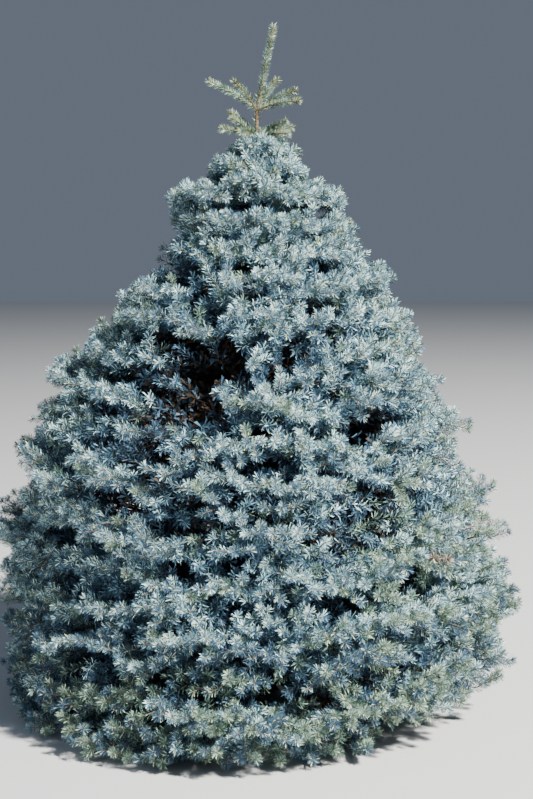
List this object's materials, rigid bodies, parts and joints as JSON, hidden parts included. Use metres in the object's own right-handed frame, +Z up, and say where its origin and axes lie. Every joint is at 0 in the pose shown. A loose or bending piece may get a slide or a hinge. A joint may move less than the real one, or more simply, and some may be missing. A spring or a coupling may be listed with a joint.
{
  "type": "blue spruce",
  "caption": "Young blue spruce rooted in the ground, a dense cone of silvery blue boughs down to the foot, with an open leader on top.",
  "frame": {"origin": "centre of the flat cut under the trunk, at ground level", "axes": "+Z up along the trunk to the leader; -Y faces the camera of the picture, +X is to its right"},
  "size_m": [1.8359, 1.8086, 2.4],
  "materials": {
    "bark": "rough grey-brown bark",
    "blue_needles": "matt silvery blue needles",
    "young_needles": "matt grey-green needles on tan shoots"
  },
  "bodies": {
    "root": {"trunk": "bark", "skirt_bough_1": "bark", "skirt_mass_1": "blue_needles", "skirt_bough_2": "bark", "skirt_mass_2": "blue_needles", "skirt_bough_3": "bark", "skirt_mass_3": "blue_needles", "skirt_bough_4": "bark", "skirt_mass_4": "blue_needles", "skirt_bough_5": "bark", "skirt_mass_5": "blue_needles", "skirt_bough_6": "bark", "skirt_mass_6": "blue_needles", "low_bough_1": "bark", "low_mass_1": "blue_needles", "low_bough_2": "bark", "low_mass_2": "blue_needles", "low_bough_3": "bark", "low_mass_3": "blue_needles", "low_bough_4": "bark", "low_mass_4": "blue_needles", "low_bough_5": "bark", "low_mass_5": "blue_needles", "low_bough_6": "bark", "low_mass_6": "blue_needles", "lower_mass_1": "blue_needles", "lower_mass_2": "blue_needles", "lower_mass_3": "blue_needles", "lower_mass_4": "blue_needles", "lower_mass_5": "blue_needles", "waist_mass_1": "blue_needles", "waist_mass_2": "blue_needles", "waist_mass_3": "blue_needles", "waist_mass_4": "blue_needles", "waist_mass_5": "blue_needles", "middle_mass_1": "blue_needles", "middle_mass_2": "blue_needles", "middle_mass_3": "blue_needles", "middle_mass_4": "blue_needles", "upper_mass_1": "blue_needles", "upper_mass_2": "blue_needles", "upper_mass_3": "blue_needles", "upper_mass_4": "blue_needles", "shoulder_mass_1": "blue_needles", "shoulder_mass_2": "blue_needles", "shoulder_mass_3": "blue_needles", "crown_mass_1": "blue_needles", "crown_mass_2": "blue_needles", "crown_mass_3": "blue_needles", "whorl_shoot_1": "young_needles", "whorl_shoot_2": "young_needles", "whorl_shoot_3": "young_needles", "whorl_shoot_4": "young_needles", "whorl_shoot_5": "young_needles", "leader": "young_needles"}
  },
  "joints": []
}
